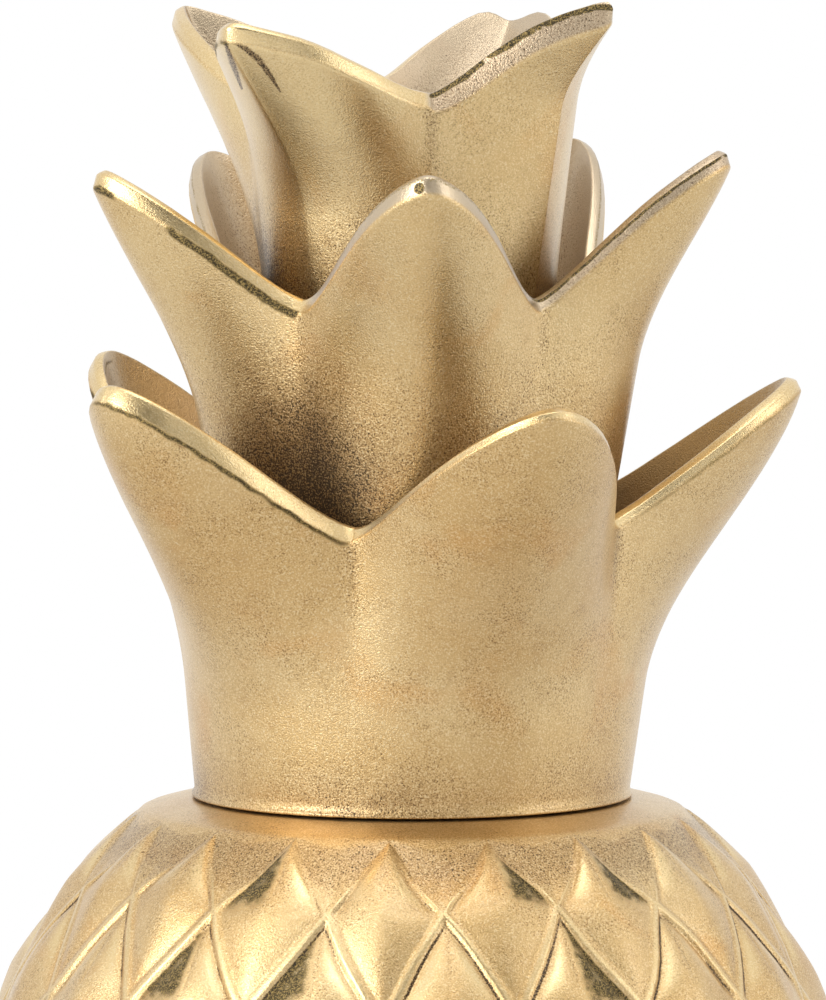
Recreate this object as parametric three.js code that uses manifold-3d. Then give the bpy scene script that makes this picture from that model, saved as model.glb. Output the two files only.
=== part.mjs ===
// A pineapple box: a hollow cast brass body with a skin of raised diamonds, and a lift-off lid
// that is the crown of leaves. The crown is three cast whorls, one inside the other, clamped
// with spacers and a turned plug on one tie rod. The plug locates the lid in the body's mouth.
// Millimetres, +Z up, origin at the middle of the felt on the table, front towards -Y.
import * as THREE from "three";
import { mergeVertices } from "three/addons/utils/BufferGeometryUtils.js";
import Module from "manifold-3d";

const wasm = await Module();
wasm.setup();

// Overall sizes
const landHeight = 180; // from the table to the face that the crown stands on
const widestHeight = 103;
const widestRadius = 70.4; // floor of the grooves at the widest ring
const mouthRadius = 29;
const castWall = 3.6;

// Fits
const seatGap = 0.3; // the crown on the body's land
const clampGap = 0.2; // between pieces that a thread or glue holds together
const plugClearance = 0.4; // plug in the mouth, on the radius
const boltClearance = 0.3; // holes over rod and screws, on the radius
const plateClearance = 0.25; // base plate in its rebate, on the radius
const cutOverrun = 1;

// Turned pieces are drawn with this many sides.
const roundSides = 60;
const rodSides = 16;
const smallSides = 12;

const circle = 2 * Math.PI;
const roundingTurn = 1e-6 * circle;
const degrees = Math.PI / 180;
const half = (length) => length / 2;
const blend = (from, to, share) => from + (to - from) * share;
const evenly = (count) => Array.from({ length: count }, (_, i) => i);

// A point at an azimuth turned from the front (-Y) towards the right (+X).
const place = (radius, azimuth, height) => [
  radius * Math.sin(azimuth),
  -radius * Math.cos(azimuth),
  height,
];

// A closed skin made of rings. Rings run anticlockwise seen from above. Joined up the outside,
// over the rim and down the inside, the skin has its faces pointing out.
class Skin {
  positions = [];
  triangles = [];

  point(position) {
    this.positions.push(...position);
    return this.positions.length / 3 - 1;
  }

  ring(azimuths, pointAt) {
    return azimuths.map((azimuth, column) => this.point(pointAt(azimuth, column)));
  }

  // Azimuths of a ring's points, unwound so that they only grow.
  turns(ring) {
    const angles = ring.map((i) =>
      Math.atan2(this.positions[3 * i], -this.positions[3 * i + 1]),
    );
    const unwound = [angles[0]];
    angles.slice(1).forEach((angle, i) => {
      unwound.push(unwound[i] + ((angle - angles[i] + circle) % circle));
    });
    return [...unwound, unwound[0] + circle];
  }

  // Joins two rings that may differ in their number of points.
  join(first, second) {
    const firstTurns = this.turns(first);
    const secondTurns = this.turns(second);
    let i = 0;
    let j = 0;
    // Points that stand at the same azimuth but for rounding are taken from the first ring.
    while (i < first.length || j < second.length) {
      const a = first[i % first.length];
      const b = second[j % second.length];
      const firstIsNearer = firstTurns[i + 1] <= secondTurns[j + 1] + roundingTurn;
      if (j === second.length || (i < first.length && firstIsNearer)) {
        this.triangles.push(a, first[(i + 1) % first.length], b);
        i += 1;
      } else {
        this.triangles.push(a, second[(j + 1) % second.length], b);
        j += 1;
      }
    }
  }

  joinAll(rings) {
    rings.slice(1).forEach((ring, i) => this.join(rings[i], ring));
  }

  geometry() {
    const made = new THREE.BufferGeometry();
    made.setAttribute("position", new THREE.Float32BufferAttribute(this.positions, 3));
    made.setIndex(this.triangles);
    return made;
  }
}

const evenAzimuths = (count, start = 0) =>
  evenly(count).map((i) => start + (circle * i) / count);

// Turned pieces: [radius, height] pairs that run anticlockwise round the section.
function turned(profile, sides) {
  const points = profile.map(([radius, height]) => new THREE.Vector2(radius, height));
  return new THREE.LatheGeometry(points, sides).rotateX(half(Math.PI));
}

function turnedRing(outer, inner, bottom, top, chamfer, sides) {
  return turned(
    [
      [inner, bottom],
      [outer - chamfer, bottom],
      [outer, bottom + chamfer],
      [outer, top - chamfer],
      [outer - chamfer, top],
      [inner, top],
      [inner, bottom],
    ],
    sides,
  );
}

function turnedBar(radius, bottom, top, chamfer, sides) {
  return turned(
    [
      [0, bottom],
      [radius - chamfer, bottom],
      [radius, bottom + chamfer],
      [radius, top - chamfer],
      [radius - chamfer, top],
      [0, top],
    ],
    sides,
  );
}

// Joining and cutting solids
function toSolid(geometry) {
  const bare = geometry.clone();
  bare.deleteAttribute("normal");
  bare.deleteAttribute("uv");
  const merged = mergeVertices(bare);
  return new wasm.Manifold(
    new wasm.Mesh({
      numProp: 3,
      vertProperties: new Float32Array(merged.attributes.position.array),
      triVerts: new Uint32Array(merged.index.array),
    }),
  );
}

function toGeometry(solid) {
  const mesh = solid.getMesh();
  const made = new THREE.BufferGeometry();
  made.setAttribute("position", new THREE.Float32BufferAttribute(mesh.vertProperties, 3));
  made.setIndex(Array.from(mesh.triVerts));
  return made;
}

const cut = (geometry, tools) =>
  toGeometry(tools.reduce((solid, tool) => solid.subtract(toSolid(tool)), toSolid(geometry)));

// Finishes
const castBrass = { color: 0xb8965a, roughness: 0.38, metalness: 1 };
const turnedBrass = { color: 0xc2a264, roughness: 0.25, metalness: 1 };
const steel = { color: 0xb4b4b0, roughness: 0.3, metalness: 1 };
const felt = { color: 0x3b332b, roughness: 0.95, metalness: 0 };

const pineapple = new THREE.Group();

function addPiece(name, geometry, finish) {
  const piece = new THREE.Mesh(geometry, new THREE.MeshStandardMaterial(finish));
  piece.name = name;
  pineapple.add(piece);
}

// Foot: a plain band on the body, and the felt glued under it.
const feltThickness = 1.2;
const feltInset = 0.9; // inside the chamfer of the foot
const grooveFootRadius = 45.4; // where the grooves run out on the band
const bandHeight = 4.6;
const bandRise = 0.5; // the band stands this much proud of the grooves
const footChamfer = 1;
const footRadius = grooveFootRadius + bandRise;
const soleRadius = footRadius - footChamfer;
const soleHeight = feltThickness + clampGap;
const bandTop = soleHeight + bandHeight;
addPiece("felt_pad", turnedBar(soleRadius - feltInset, 0, feltThickness, 0, roundSides), felt);

// Neck: the crown's seat, a flat land round the mouth that falls away to the first diamonds.
const seatWidth = 3.6;
const footLip = 0.7; // small flare round the foot of the crown
const landMargin = 1.1;
const landFall = 0.1;
const collarWidth = 4.2;
const collarFall = 1.05;
const shoulderWidth = 2.2;
const shoulderFall = 0.75;
const crownFootRadius = mouthRadius + seatWidth;
const landRadius = crownFootRadius + footLip + landMargin;
const collarRadius = landRadius + collarWidth;
const shoulderRadius = collarRadius + shoulderWidth;
const collarHeight = landHeight - landFall - collarFall;
const shoulderHeight = collarHeight - shoulderFall;

// Body outline: two half ellipses that meet at the widest ring, from the shoulder at the first
// diamonds down to the band.

const semiAxis = (rise, radius) => rise / Math.sqrt(1 - (radius / widestRadius) ** 2);
const upperSemiAxis = semiAxis(shoulderHeight - widestHeight, shoulderRadius);
const lowerSemiAxis = semiAxis(widestHeight - bandTop, grooveFootRadius);
const semiAxisAt = (height) => (height > widestHeight ? upperSemiAxis : lowerSemiAxis);

const bodyRadiusAt = (height) =>
  widestRadius * Math.sqrt(1 - ((height - widestHeight) / semiAxisAt(height)) ** 2);

// The diamonds keep their proportions on the way down: the levels are spaced by the length of
// outline divided by its radius.
const diamondsRound = 18;
const diamondRows = 9;
const firstDiamondAzimuth = -4.6 * degrees;
const outlineSteps = 1000;

function levelHeights() {
  const levelCount = diamondRows + 2;
  const stepHeight = (i) => blend(shoulderHeight, bandTop, i / outlineSteps);
  const travelled = [0];
  for (let i = 1; i <= outlineSteps; i++) {
    const above = stepHeight(i - 1);
    const below = stepHeight(i);
    const run = Math.hypot(bodyRadiusAt(above) - bodyRadiusAt(below), above - below);
    travelled.push(travelled[i - 1] + run / bodyRadiusAt(below));
  }
  return evenly(levelCount).map((level) => {
    const target = (travelled[outlineSteps] * level) / (levelCount - 1);
    const found = travelled.findIndex((distance) => distance >= target);
    return stepHeight(found < 0 ? outlineSteps : found);
  });
}

const heights = levelHeights();

// A point on the body's outline at a level, or between levels, lifted along the normal.
function outlinePoint(level, lift) {
  const above = Math.min(Math.floor(level), heights.length - 2);
  const height = blend(heights[above], heights[above + 1], level - above);
  const radius = bodyRadiusAt(height);
  const slope = ((widestRadius / semiAxisAt(height)) ** 2 * (height - widestHeight)) / radius;
  const length = Math.hypot(1, slope);
  return { radius: radius + lift / length, height: height + (lift * slope) / length };
}

function bodyPoint(azimuth, level, lift) {
  const { radius, height } = outlinePoint(level, lift);
  return place(radius, azimuth, height);
}

// Diamonds: flat-sided pyramids with a short steep edge beside the grooves. Their relief is a
// share of the body's radius where they stand.
const edgeRiseShare = 0.008;
const peakRiseShare = 0.034;
const edgeInsetShare = 0.1;
const diamondTurn = circle / diamondsRound;
const levelAzimuths = (level) =>
  evenAzimuths(diamondsRound, firstDiamondAzimuth + (level % 2 ? 0 : half(diamondTurn)));
// The grooves cross on a level at these places, left and right of one of its diamonds.
const crossings = (row, column) => (row % 2 ? [column - 1, column] : [column, column + 1]);

function addDiamond(skin, row, azimuth, corners) {
  const width = 1 - edgeInsetShare;
  const sideways = half(diamondTurn) * width;
  const { radius } = outlinePoint(row, 0);
  const edgeRise = edgeRiseShare * radius;
  const edge = [
    bodyPoint(azimuth, row - width, edgeRise),
    bodyPoint(azimuth - sideways, row, edgeRise),
    bodyPoint(azimuth, row + width, edgeRise),
    bodyPoint(azimuth + sideways, row, edgeRise),
  ].map((position) => skin.point(position));
  const peak = skin.point(bodyPoint(azimuth, row, peakRiseShare * radius));
  corners.forEach((corner, side) => {
    const next = (side + 1) % corners.length;
    skin.triangles.push(corner, corners[next], edge[next]);
    skin.triangles.push(corner, edge[next], edge[side]);
    skin.triangles.push(peak, edge[side], edge[next]);
  });
}

// Body shell: one hollow casting with the mouth, the cavity and a ledge for the base plate.
const neckWall = 5;
const mouthChamfer = 0.8;
const footWall = 4.65; // round the rebate
const plateThickness = 2.6;
const ledgeWidth = 8;
const ledgeThickness = 5.5;
const rebateRadius = footRadius - footWall;
const plateRadius = rebateRadius - plateClearance;
const ledgeRadius = rebateRadius - ledgeWidth;
const ledgeBottom = soleHeight + plateThickness + clampGap;
const ledgeTop = ledgeBottom + ledgeThickness;

function bodyShell() {
  const skin = new Skin();
  const round = evenAzimuths(roundSides, firstDiamondAzimuth);
  const circleAt = (radius, height) =>
    skin.ring(round, (azimuth) => place(radius, azimuth, height));
  const levels = heights.map((_, level) =>
    skin.ring(levelAzimuths(level + 1), (azimuth) => bodyPoint(azimuth, level, 0)),
  );
  const corner = (ring, index) => ring[(index + diamondsRound) % diamondsRound];
  for (let row = 1; row <= diamondRows; row++) {
    levelAzimuths(row).forEach((azimuth, column) => {
      const [left, right] = crossings(row, column);
      addDiamond(skin, row, azimuth, [
        corner(levels[row - 1], column),
        corner(levels[row], left),
        corner(levels[row + 1], column),
        corner(levels[row], right),
      ]);
    });
  }
  // Plain triangles between the tops of the first row and between the feet of the last row.
  const last = diamondRows;
  evenly(diamondsRound).forEach((column) => {
    skin.triangles.push(
      corner(levels[0], column),
      corner(levels[1], crossings(1, column)[1]),
      corner(levels[0], column + 1),
      corner(levels[last + 1], column),
      corner(levels[last + 1], column + 1),
      corner(levels[last], crossings(last, column)[1]),
    );
  });

  const sole = circleAt(soleRadius, soleHeight);
  skin.joinAll([
    sole,
    circleAt(footRadius, soleHeight + footChamfer),
    circleAt(footRadius, bandTop - bandRise),
    levels[last + 1],
  ]);
  skin.joinAll([
    levels[0],
    circleAt(collarRadius, collarHeight),
    circleAt(landRadius, landHeight - landFall),
    circleAt(mouthRadius + mouthChamfer, landHeight),
    circleAt(mouthRadius, landHeight - mouthChamfer),
    circleAt(mouthRadius, landHeight - neckWall),
    ...heights.slice(0, -1).map((_, level) =>
      skin.ring(levelAzimuths(level), (azimuth) =>
        bodyPoint(azimuth, level, level ? -castWall : -neckWall),
      ),
    ),
    circleAt(bodyRadiusAt(ledgeTop) - castWall, ledgeTop),
    circleAt(ledgeRadius, ledgeTop),
    circleAt(ledgeRadius, ledgeBottom),
    circleAt(rebateRadius, ledgeBottom),
    circleAt(rebateRadius, soleHeight),
    sole,
  ]);
  return skin.geometry();
}

// Base plate and its screws
const screwCount = 3;
const screwRadius = 2;
const screwHeadRadius = 3.8;
const screwLength = 8;
const screwTip = 0.5;
const screwHeadDrop = 0.2; // under the face of the plate
const slotWidth = 1;
const slotDepth = 1.1;
const screwBottom = soleHeight + screwHeadDrop;
const screwHeadTop = screwBottom + screwHeadRadius - screwRadius; // a cone at 45 degrees

const screwPlaces = evenAzimuths(screwCount, half(circle / screwCount)).map((azimuth) =>
  place(half(ledgeRadius + plateRadius), azimuth, 0),
);

// The hole is the screw's own shape with clearance, open below.
function screwHole(top) {
  const shank = screwRadius + boltClearance;
  const head = screwHeadRadius + boltClearance;
  return turned(
    [
      [0, soleHeight - cutOverrun],
      [head, soleHeight - cutOverrun],
      [head, screwBottom],
      [shank, screwHeadTop],
      [shank, top],
      [0, top],
    ],
    smallSides,
  );
}

function baseScrew() {
  const top = screwBottom + screwLength;
  const shape = turned(
    [
      [0, screwBottom],
      [screwHeadRadius, screwBottom],
      [screwRadius, screwHeadTop],
      [screwRadius, top - screwTip],
      [screwRadius - screwTip, top],
      [0, top],
    ],
    smallSides,
  );
  const slot = new THREE.BoxGeometry(
    2 * screwHeadRadius + cutOverrun,
    slotWidth,
    2 * slotDepth,
  ).translate(0, 0, screwBottom);
  return cut(shape, [slot]);
}

const plateHoles = screwPlaces.map((spot) =>
  screwHole(ledgeBottom + cutOverrun).translate(...spot),
);
const ledgeHoles = screwPlaces.map((spot) => screwHole(ledgeTop + cutOverrun).translate(...spot));

addPiece("body_shell", cut(bodyShell(), ledgeHoles), castBrass);
addPiece(
  "base_plate",
  cut(
    turnedBar(plateRadius, soleHeight, soleHeight + plateThickness, 0, roundSides),
    plateHoles,
  ),
  turnedBrass,
);
screwPlaces.forEach((spot, i) => {
  addPiece(`base_screw_${i + 1}`, baseScrew().translate(...spot), steel);
});

// Crown: each whorl is a cup of leaves. Its wall starts round at the foot; higher up, the keels
// of the leaves swing out further than the valleys between them. Heights count from the land.
const whorlWall = 2.8;
const rimEdge = 1.1; // flat left on the rim
const rimBevel = 2; // width of the bevel outside the rim
const tuckDepth = 10.7; // from a notch down to the foot of the whorl inside
const rodRadius = 3;
const rodHoleRadius = rodRadius + boltClearance;
const valleySoftShare = 0.12; // of half a leaf's width
const tipRoundShare = 0.2; // of half a leaf's width
const dipShare = 0.24; // of half a leaf's width
const probeShare = 1e-3; // step for slopes, of a radian or of a height

// Columns from one keel to the next, with the notch half way.
const columnShares = [0, 0.06, 0.15, 0.26, 0.38, 0.5, 0.62, 0.74, 0.85, 0.94];
const wallRows = 6;

const ease = (share) => {
  const t = Math.min(1, Math.max(0, share));
  return t * t * (3 - 2 * t);
};

// How far the rim has come down from tip (0) to notch (1), half a leaf's width away.
function rimDrop(across) {
  const roll = half(1 - Math.cos(Math.PI * across));
  const hook = Math.hypot(across, tipRoundShare) - tipRoundShare;
  return half(roll + hook / (Math.hypot(1, tipRoundShare) - tipRoundShare));
}

// The radius of a whorl's valleys, a cone.
const valleyRadius = (whorl, height) =>
  whorl.footRadius + whorl.valleyTaper * (height - whorl.foot);

// The three whorls. Each leaf was cast and dressed a little differently: its tip height, its
// reach at the tip and the height where its keel starts to swing out are shares of the whorl's.
// A round share of 0 makes a leaf's sides flat, from the keel to the valleys.
const lowerNotch = 43.2;
const lowerTip = 62.8;
const lowerReach = 58;
const lowerFlareStart = 15;
const lowerFlareEnd = 64;
const lowerWeb = 4;

const lowerWhorl = {
  foot: seatGap,
  footRadius: crownFootRadius,
  lip: footLip,
  web: lowerWeb,
  notch: lowerNotch,
  tip: lowerTip,
  reach: lowerReach,
  flareStart: lowerFlareStart,
  flareEnd: lowerFlareEnd,
  valleyTaper: 0.084,
  keelTaper: 0.15,
  keelExponent: 1.35,
  leaves: [
    {
      azimuth: -122 * degrees,
      tipShare: 1.029,
      reachShare: 0.983,
      flareShare: 1,
      roundShare: 1,
      dip: 0,
    },
    {
      azimuth: -50 * degrees,
      tipShare: 1.01,
      reachShare: 1.007,
      flareShare: 1,
      roundShare: 1,
      dip: 0,
    },
    {
      azimuth: 22 * degrees,
      tipShare: 0.984,
      reachShare: 1,
      flareShare: 1,
      roundShare: 1,
      dip: 0,
    },
    {
      azimuth: 94 * degrees,
      tipShare: 0.99,
      reachShare: 1.017,
      flareShare: 1.17,
      roundShare: 1,
      dip: 0,
    },
    {
      azimuth: 166 * degrees,
      tipShare: 1,
      reachShare: 1,
      flareShare: 1,
      roundShare: 1,
      dip: 0,
    },
  ],
};

const middleNotch = 76.2;
const middleTip = 95;
const middleReach = 49.5;
const middleFlareStart = 62;
const middleFlareEnd = 102;
const middleWeb = 3.2;
const middleNestGap = 4.2; // between the wall and the lower whorl, at the foot
const middleFoot = lowerNotch - tuckDepth;

const middleWhorl = {
  foot: middleFoot,
  footRadius: valleyRadius(lowerWhorl, middleFoot) - whorlWall - middleNestGap,
  lip: 0,
  web: middleWeb,
  notch: middleNotch,
  tip: middleTip,
  reach: middleReach,
  flareStart: middleFlareStart,
  flareEnd: middleFlareEnd,
  valleyTaper: 0.063,
  keelTaper: 0.19,
  keelExponent: 1.1,
  leaves: [
    {
      azimuth: -141 * degrees,
      tipShare: 0.99,
      reachShare: 1.03,
      flareShare: 0.97,
      roundShare: 1,
      dip: 0,
    },
    {
      azimuth: -69 * degrees,
      tipShare: 0.99,
      reachShare: 1.03,
      flareShare: 0.9,
      roundShare: 1,
      dip: 0,
    },
    {
      azimuth: 3 * degrees,
      tipShare: 0.998,
      reachShare: 0.98,
      flareShare: 1,
      roundShare: 1,
      dip: 0,
    },
    {
      azimuth: 75 * degrees,
      tipShare: 1.019,
      reachShare: 1,
      flareShare: 1.065,
      roundShare: 1,
      dip: 0,
    },
    {
      azimuth: 147 * degrees,
      tipShare: 1.013,
      reachShare: 0.97,
      flareShare: 1,
      roundShare: 1,
      dip: 0,
    },
  ],
};

const topNotch = 106.4;
const topTip = 117;
const topReach = 43;
const topFlareStart = 92;
const topFlareEnd = 126;
const topWeb = 3.2;
const topNestGap = 6.5;
const topTipDip = 3; // one leaf's tip is rolled back, so its rim dips at the keel
const topFoot = middleNotch - tuckDepth;

const topWhorl = {
  foot: topFoot,
  footRadius: valleyRadius(middleWhorl, topFoot) - whorlWall - topNestGap,
  lip: 0,
  web: topWeb,
  notch: topNotch,
  tip: topTip,
  reach: topReach,
  flareStart: topFlareStart,
  flareEnd: topFlareEnd,
  valleyTaper: 0.1,
  keelTaper: 0.18,
  keelExponent: 1.05,
  leaves: [
    {
      azimuth: -128 * degrees,
      tipShare: 0.997,
      reachShare: 1.075,
      flareShare: 0.81,
      roundShare: 1,
      dip: 0,
    },
    {
      azimuth: -38.5 * degrees,
      tipShare: 0.991,
      reachShare: 1.03,
      flareShare: 0.96,
      roundShare: 1,
      dip: 0,
    },
    {
      azimuth: 52 * degrees,
      tipShare: 1.012,
      reachShare: 0.9,
      flareShare: 1.13,
      roundShare: 0.5,
      dip: 0,
    },
    {
      azimuth: 158 * degrees,
      tipShare: 0.995,
      reachShare: 1.04,
      flareShare: 1,
      roundShare: 1,
      dip: topTipDip,
    },
  ],
};

// The leaf that an azimuth belongs to, how far across it that is, 0 on the keel and 1 in the
// valley, and the turn from that keel to the valley.
function leafAt(whorl, azimuth) {
  const { leaves } = whorl;
  const turn = (((azimuth - leaves[0].azimuth) % circle) + circle) % circle;
  const starts = leaves.map((leaf) => leaf.azimuth - leaves[0].azimuth);
  const index = starts.findLastIndex((start) => start <= turn);
  const next = (index + 1) % leaves.length;
  const gap = (next ? starts[next] : circle) - starts[index];
  const across = (2 * (turn - starts[index])) / gap;
  return across <= 1
    ? { leaf: leaves[index], across, span: half(gap) }
    : { leaf: leaves[next], across: 2 - across, span: half(gap) };
}

function rimHeight(whorl, azimuth) {
  const { leaf, across } = leafAt(whorl, azimuth);
  const rim = blend(leaf.tipShare * whorl.tip, whorl.notch, rimDrop(across));
  return rim - leaf.dip * (1 - ease(across / dipShare));
}

// The keel of a leaf runs up straight at first and swings out above its flare start.
function keelRadius(whorl, leaf, height) {
  const straight = (level) => whorl.footRadius + whorl.keelTaper * (level - whorl.foot);
  const start = leaf.flareShare * whorl.flareStart;
  const flare = (level) => ease((level - start) / (whorl.flareEnd - start));
  const tip = leaf.tipShare * whorl.tip;
  const swing = (leaf.reachShare * whorl.reach - straight(tip)) / flare(tip);
  return straight(height) + swing * flare(height);
}

// How far a point has come down from the keel (0) to the valley (1). The valley is a soft fold,
// and a whorl's keel exponent says how crisp its keels are, with 1 for the crispest.
function valleyShare(whorl, across) {
  const fold =
    (Math.hypot(1 - across, valleySoftShare) - valleySoftShare) /
    (Math.hypot(1, valleySoftShare) - valleySoftShare);
  return (1 - fold) ** whorl.keelExponent;
}

function whorlSurface(whorl, azimuth, height) {
  const { leaf, across, span } = leafAt(whorl, azimuth);
  const keel = keelRadius(whorl, leaf, height);
  const valley = valleyRadius(whorl, height);
  const flatSide =
    (keel * valley * Math.sin(span)) /
    (keel * Math.sin(across * span) + valley * Math.sin((1 - across) * span));
  const roundSide = blend(keel, valley, valleyShare(whorl, across));
  const radius = blend(flatSide, roundSide, leaf.roundShare);
  return new THREE.Vector3(...place(radius, azimuth, landHeight + height));
}

// A point under the outside of a whorl, at a depth along the surface's normal.
function whorlPoint(whorl, azimuth, height, depth) {
  const step = probeShare * landHeight;
  const sideways = whorlSurface(whorl, azimuth + probeShare, height).sub(
    whorlSurface(whorl, azimuth - probeShare, height),
  );
  const upwards = whorlSurface(whorl, azimuth, height + step).sub(
    whorlSurface(whorl, azimuth, height - step),
  );
  const normal = sideways.cross(upwards).normalize();
  return whorlSurface(whorl, azimuth, height).addScaledVector(normal, -depth).toArray();
}

// The bevel keeps its width along the sloping rim.
function bevelDrop(whorl, azimuth) {
  const before = azimuth - probeShare;
  const after = azimuth + probeShare;
  const rise = rimHeight(whorl, after) - rimHeight(whorl, before);
  const run = whorlSurface(whorl, after, whorl.notch).distanceTo(
    whorlSurface(whorl, before, whorl.notch),
  );
  return rimBevel * Math.hypot(1, rise / run);
}

function whorlShell(whorl) {
  const skin = new Skin();
  const azimuths = whorl.leaves.flatMap((leaf, index) => {
    const next = whorl.leaves[index + 1]?.azimuth ?? whorl.leaves[0].azimuth + circle;
    return columnShares.map((share) => blend(leaf.azimuth, next, share));
  });
  const wallRing = (depth, heightAt) =>
    skin.ring(azimuths, (azimuth) => whorlPoint(whorl, azimuth, heightAt(azimuth), depth));
  const flatRing = (radius, height) =>
    skin.ring(azimuths, (azimuth) => place(radius, azimuth, landHeight + height));
  const holeRing = (height) =>
    skin.ring(evenAzimuths(rodSides), (azimuth) =>
      place(rodHoleRadius, azimuth, landHeight + height),
    );
  const rim = (azimuth) => rimHeight(whorl, azimuth);
  const bevelFoot = (azimuth) => rim(azimuth) - bevelDrop(whorl, azimuth);
  const floor = whorl.foot + whorl.web;
  const start = whorl.foot + 2 * whorl.lip;
  const risers = evenly(wallRows).map((row) => (row + 1) / wallRows);
  const innerRisers = risers.slice(0, -1).reverse();
  const lipRings = whorl.lip
    ? [flatRing(whorl.footRadius + whorl.lip, whorl.foot + whorl.lip), wallRing(0, () => start)]
    : [];
  const hole = holeRing(whorl.foot);
  skin.joinAll([
    hole,
    flatRing(whorl.footRadius, whorl.foot),
    ...lipRings,
    ...risers.map((share) => wallRing(0, (azimuth) => blend(start, bevelFoot(azimuth), share))),
    wallRing(whorlWall - rimEdge, rim),
    wallRing(whorlWall, rim),
    ...innerRisers.map((share) =>
      wallRing(whorlWall, (azimuth) => blend(floor, rim(azimuth), share)),
    ),
    flatRing(valleyRadius(whorl, floor) - whorlWall, floor),
    holeRing(floor),
    hole,
  ]);
  return skin.geometry();
}

addPiece("lower_whorl", whorlShell(lowerWhorl), castBrass);
addPiece("middle_whorl", whorlShell(middleWhorl), castBrass);
addPiece("top_whorl", whorlShell(topWhorl), castBrass);

// Clamp: everything on the tie rod, from the nut under the plug to the dome nut in the top cup.
const plugHeight = 8;
const plugChamfer = 1.2;
const plugRim = 8.6;
const plugRecess = 4.5;
const spacerRadius = 7;
const washerRadius = 6;
const washerThickness = 1.6;
const nutAcrossFlats = 10;
const nutHeight = 5;
const domeRadius = 4.75;
const domeRise = 6;
const domeDepth = 2; // rod inside the dome, above the hexagon
const rodTail = 1.5; // rod that shows below the lower nut
const edgeChamfer = 0.5;

const plugRadius = mouthRadius - plugClearance;
const plugTop = landHeight + lowerWhorl.foot - clampGap;
const plugBottom = plugTop - plugHeight;
const plugUnderside = plugBottom + plugRecess;
const lowerWasherBottom = plugUnderside - clampGap - washerThickness;
const lowerNutTop = lowerWasherBottom - clampGap;
const lowerNutBottom = lowerNutTop - nutHeight;
const upperWasherBottom = landHeight + topWhorl.foot + topWhorl.web + clampGap;
const upperNutBottom = upperWasherBottom + washerThickness + clampGap;
const hexagonTop = upperNutBottom + nutHeight;
const rodTop = hexagonTop + domeDepth;

addPiece(
  "lid_plug",
  turned(
    [
      [rodHoleRadius, plugUnderside],
      [plugRadius - plugRim, plugUnderside],
      [plugRadius - plugRim, plugBottom],
      [plugRadius - plugChamfer, plugBottom],
      [plugRadius, plugBottom + plugChamfer],
      [plugRadius, plugTop - edgeChamfer],
      [plugRadius - edgeChamfer, plugTop],
      [rodHoleRadius, plugTop],
      [rodHoleRadius, plugUnderside],
    ],
    roundSides,
  ),
  turnedBrass,
);

function addSpacer(name, below, above) {
  const bottom = landHeight + below.foot + below.web + clampGap;
  const top = landHeight + above.foot - clampGap;
  const tube = turnedRing(spacerRadius, rodHoleRadius, bottom, top, edgeChamfer, rodSides);
  addPiece(name, tube, turnedBrass);
}

addSpacer("lower_spacer", lowerWhorl, middleWhorl);
addSpacer("upper_spacer", middleWhorl, topWhorl);

function addWasher(name, bottom) {
  const top = bottom + washerThickness;
  addPiece(name, turnedRing(washerRadius, rodHoleRadius, bottom, top, 0, rodSides), steel);
}

addWasher("bottom_washer", lowerWasherBottom);
addWasher("top_washer", upperWasherBottom);

const rod = turnedBar(rodRadius, lowerNutBottom - rodTail, rodTop, edgeChamfer, rodSides);
addPiece("tie_rod", rod, steel);

// A hexagon with its corners turned off above and below.
const hexagonCorners = 6;

function hexagonBlock(bottom, top) {
  const cornerRadius = half(nutAcrossFlats) / Math.cos(half(circle / hexagonCorners));
  const turnedOff = half(cornerRadius - half(nutAcrossFlats));
  return toSolid(turnedBar(cornerRadius, bottom, top, 0, hexagonCorners)).intersect(
    toSolid(turnedBar(cornerRadius, bottom, top, turnedOff, 2 * smallSides)),
  );
}

const rodBore = (bottom, top) => toSolid(turnedBar(rodHoleRadius, bottom, top, 0, rodSides));

const lowerNut = hexagonBlock(lowerNutBottom, lowerNutTop).subtract(
  rodBore(lowerNutBottom - cutOverrun, lowerNutTop + cutOverrun),
);
addPiece("bottom_nut", toGeometry(lowerNut), steel);

const domeSteps = 4;
const domeProfile = evenly(domeSteps).map((step) => {
  const angle = (half(Math.PI) * step) / domeSteps;
  return [domeRadius * Math.cos(angle), hexagonTop + domeRise * Math.sin(angle)];
});
const domeRoot = half(upperNutBottom + hexagonTop);
const dome = turned(
  [[0, domeRoot], [domeRadius, domeRoot], ...domeProfile, [0, hexagonTop + domeRise]],
  rodSides,
);
const upperNut = hexagonBlock(upperNutBottom, hexagonTop)
  .add(toSolid(dome))
  .subtract(rodBore(upperNutBottom - cutOverrun, rodTop + boltClearance));
addPiece("top_nut", toGeometry(upperNut), turnedBrass);

export default pineapple;
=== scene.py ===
# A pineapple box of cast brass: a hollow body under a skin of raised diamonds, and a lid that is
# the crown of leaves. It stands on a pale floor, seen from where the photograph was taken.
import math
from functools import partialmethod

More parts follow.
